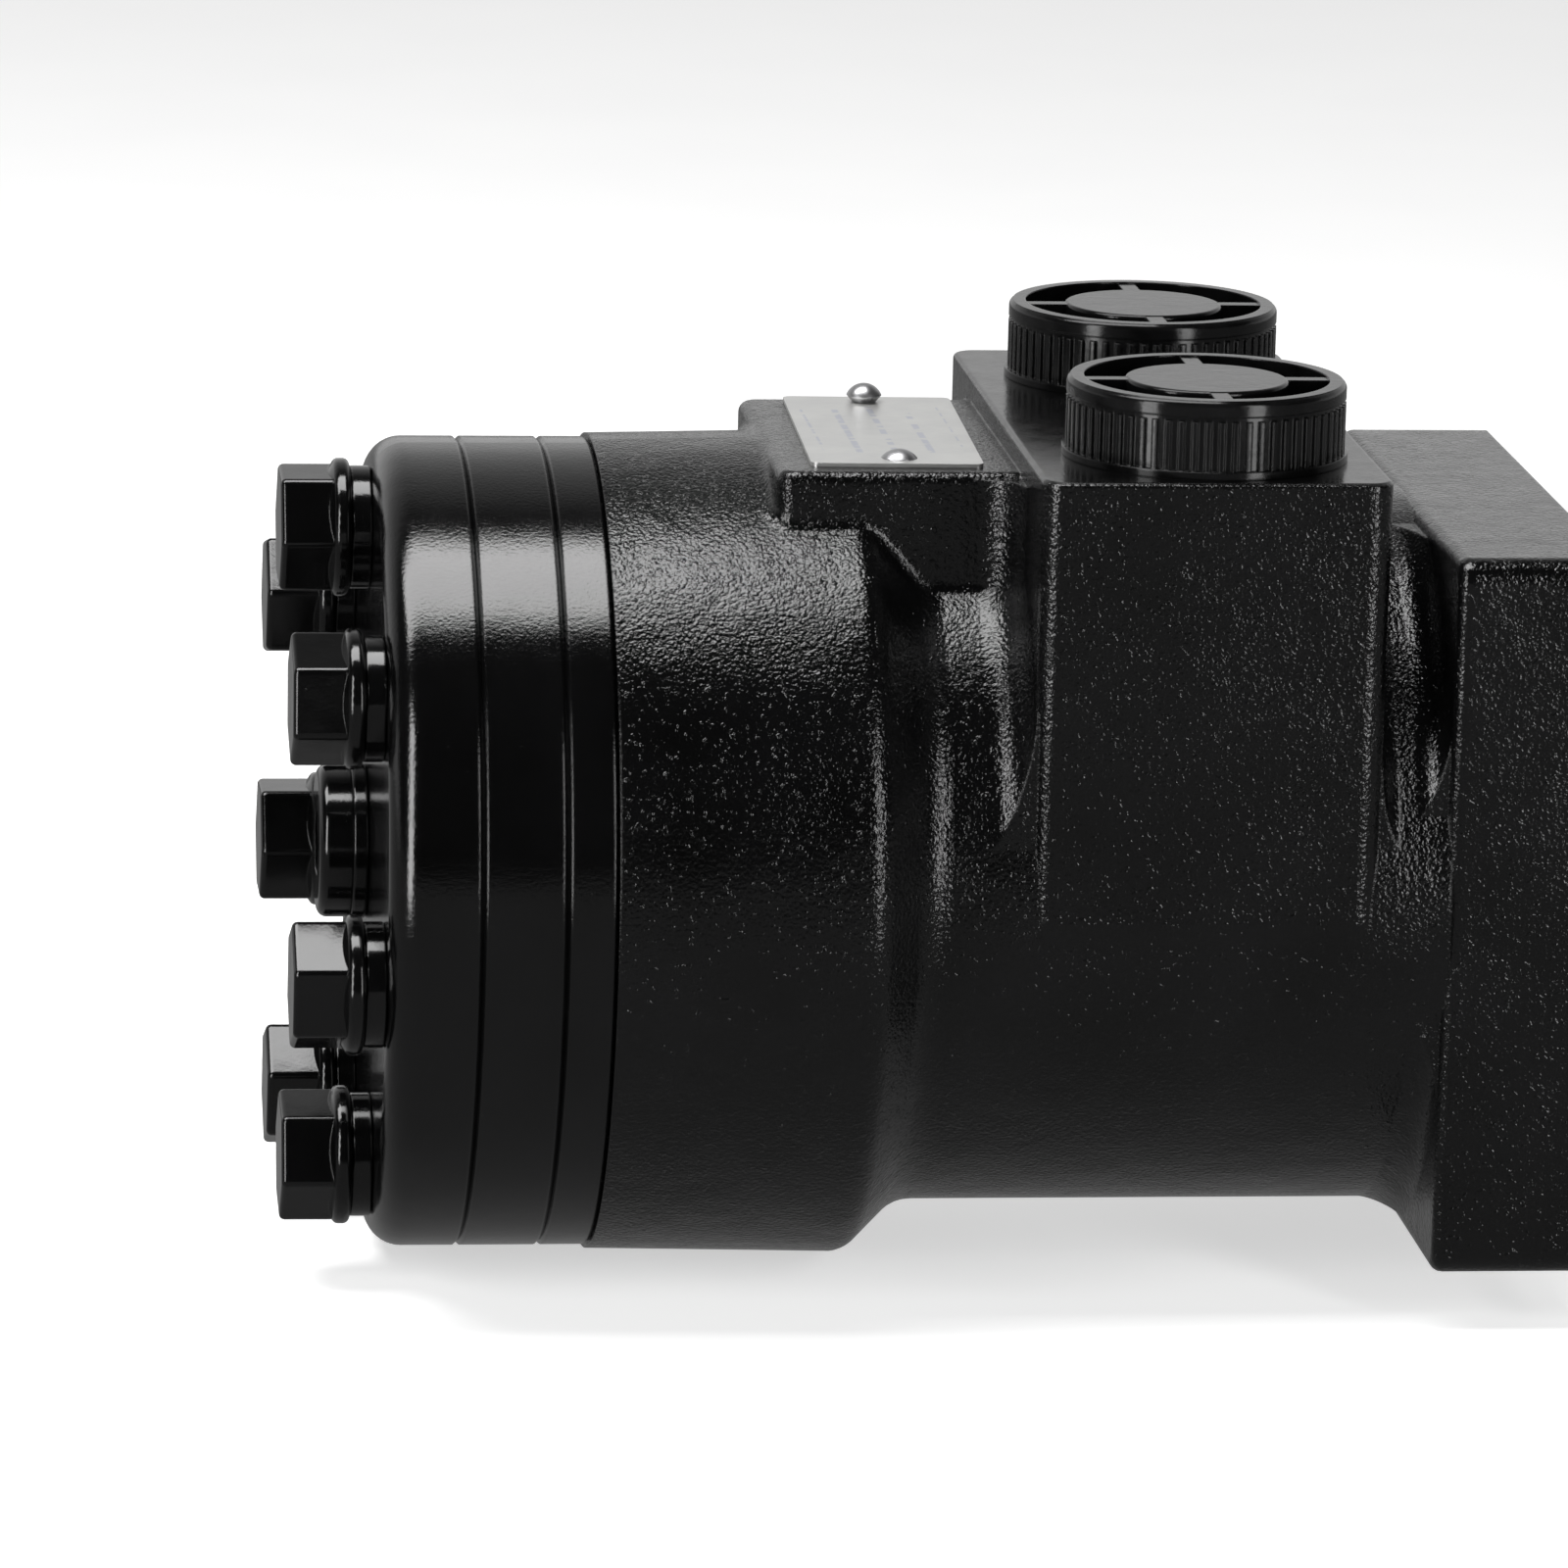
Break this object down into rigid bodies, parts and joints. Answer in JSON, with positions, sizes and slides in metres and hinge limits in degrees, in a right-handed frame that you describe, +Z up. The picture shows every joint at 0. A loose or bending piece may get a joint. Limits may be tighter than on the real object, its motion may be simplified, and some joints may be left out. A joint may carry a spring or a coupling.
{
  "type": "hydraulic motor",
  "caption": "Low-speed orbit hydraulic motor: bolted roller-gerotor stack, cast housing with two plugged top ports, square mounting flange, keyed straight output shaft.",
  "frame": {"origin": "on the output shaft axis, in the plane of the mounting face, at the root of the pilot", "axes": "+X along the output shaft axis out of the flange, +Z up out of the two ports, +Y completes the right-handed frame; the two ports lie side by side along Y"},
  "size_m": [0.2102, 0.1038, 0.1163],
  "materials": {
    "housing_paint": "gloss black paint over rough cast iron",
    "stack_paint": "gloss black paint over machined plates",
    "fastener_paint": "gloss black paint over steel fasteners",
    "hard_steel": "ground hardened steel",
    "shaft_steel": "ground steel shaft",
    "bearing_steel": "polished bearing steel",
    "seal_rubber": "black nitrile",
    "plug_plastic": "black moulded polyethylene",
    "plate_aluminium": "satin printed aluminium, print left out",
    "rivet_steel": "bright plated"
  },
  "bodies": {
    "casing": {"housing": "housing_paint", "spacer_plate": "stack_paint", "gerotor_ring": "stack_paint", "end_cap": "stack_paint", "body_seals": "seal_rubber", "cap_bolts": "fastener_paint", "bolt_washers": "fastener_paint", "drain_plug": "fastener_paint", "drain_washer": "fastener_paint", "thrust_race_front": "bearing_steel", "shaft_seal": "seal_rubber", "seal_backup_ring": "hard_steel", "dust_seal": "seal_rubber", "nameplate": "plate_aluminium", "rivets": "rivet_steel"},
    "output_shaft": {"output_shaft": "shaft_steel", "shaft_key": "shaft_steel", "thrust_race_rear": "bearing_steel"},
    "thrust_cage": {"thrust_cage": "bearing_steel", "thrust_needles": "bearing_steel"},
    "drive_spacer": {"drive_spacer": "hard_steel"},
    "gerotor_star": {"gerotor_star": "hard_steel"},
    "drive_link": {"drive_link": "hard_steel"},
    "port_plug_near": {"port_plug_near": "plug_plastic"},
    "port_plug_far": {"port_plug_far": "plug_plastic"},
    "roller_1": {"roller_1": "bearing_steel"},
    "roller_2": {"roller_2": "bearing_steel"},
    "roller_3": {"roller_3": "bearing_steel"},
    "roller_4": {"roller_4": "bearing_steel"},
    "roller_5": {"roller_5": "bearing_steel"},
    "roller_6": {"roller_6": "bearing_steel"},
    "roller_7": {"roller_7": "bearing_steel"}
  },
  "joints": [
    {"name": "shaft_turn", "type": "hinge", "parent": "casing", "child": "output_shaft", "pos_m": [0, 0, 0], "axis": [1, 0, 0], "continuous": true},
    {"name": "star_orbit", "type": "hinge", "parent": "casing", "child": "drive_spacer", "pos_m": [-0.13255, 0, 0], "axis": [1, 0, 0], "continuous": true},
    {"name": "star_spin", "type": "hinge", "parent": "drive_spacer", "child": "gerotor_star", "pos_m": [-0.13255, 0, -0.0026], "axis": [1, 0, 0], "continuous": true},
    {"name": "link_spin", "type": "hinge", "parent": "drive_spacer", "child": "drive_link", "pos_m": [-0.076, 0, 0], "axis": [0.9989, 0, 0.0465], "continuous": true},
    {"name": "thrust_cage_turn", "type": "hinge", "parent": "casing", "child": "thrust_cage", "pos_m": [-0.0316, 0, 0], "axis": [1, 0, 0], "continuous": true},
    {"name": "roller_1_spin", "type": "hinge", "parent": "casing", "child": "roller_1", "pos_m": [-0.13255, 0, -0.0305], "axis": [1, 0, 0], "continuous": true},
    {"name": "roller_2_spin", "type": "hinge", "parent": "casing", "child": "roller_2", "pos_m": [-0.13255, 0.02385, -0.01902], "axis": [1, 0, 0], "continuous": true},
    {"name": "roller_3_spin", "type": "hinge", "parent": "casing", "child": "roller_3", "pos_m": [-0.13255, 0.02974, 0.00679], "axis": [1, 0, 0], "continuous": true},
    {"name": "roller_4_spin", "type": "hinge", "parent": "casing", "child": "roller_4", "pos_m": [-0.13255, 0.01323, 0.02748], "axis": [1, 0, 0], "continuous": true},
    {"name": "roller_5_spin", "type": "hinge", "parent": "casing", "child": "roller_5", "pos_m": [-0.13255, -0.01323, 0.02748], "axis": [1, 0, 0], "continuous": true},
    {"name": "roller_6_spin", "type": "hinge", "parent": "casing", "child": "roller_6", "pos_m": [-0.13255, -0.02974, 0.00679], "axis": [1, 0, 0], "continuous": true},
    {"name": "roller_7_spin", "type": "hinge", "parent": "casing", "child": "roller_7", "pos_m": [-0.13255, -0.02385, -0.01902], "axis": [1, 0, 0], "continuous": true},
    {"name": "port_plug_near_out", "type": "slide", "parent": "casing", "child": "port_plug_near", "axis": [0, 0, 1], "range_m": [0, 0.03]},
    {"name": "port_plug_far_out", "type": "slide", "parent": "casing", "child": "port_plug_far", "axis": [0, 0, 1], "range_m": [0, 0.03]}
  ],
  "couplings": [
    {"joint": "star_orbit", "follows": "shaft_turn", "ratio": -6},
    {"joint": "star_spin", "follows": "shaft_turn", "ratio": 7},
    {"joint": "link_spin", "follows": "shaft_turn", "ratio": 7},
    {"joint": "thrust_cage_turn", "follows": "shaft_turn", "ratio": 0.5}
  ]
}
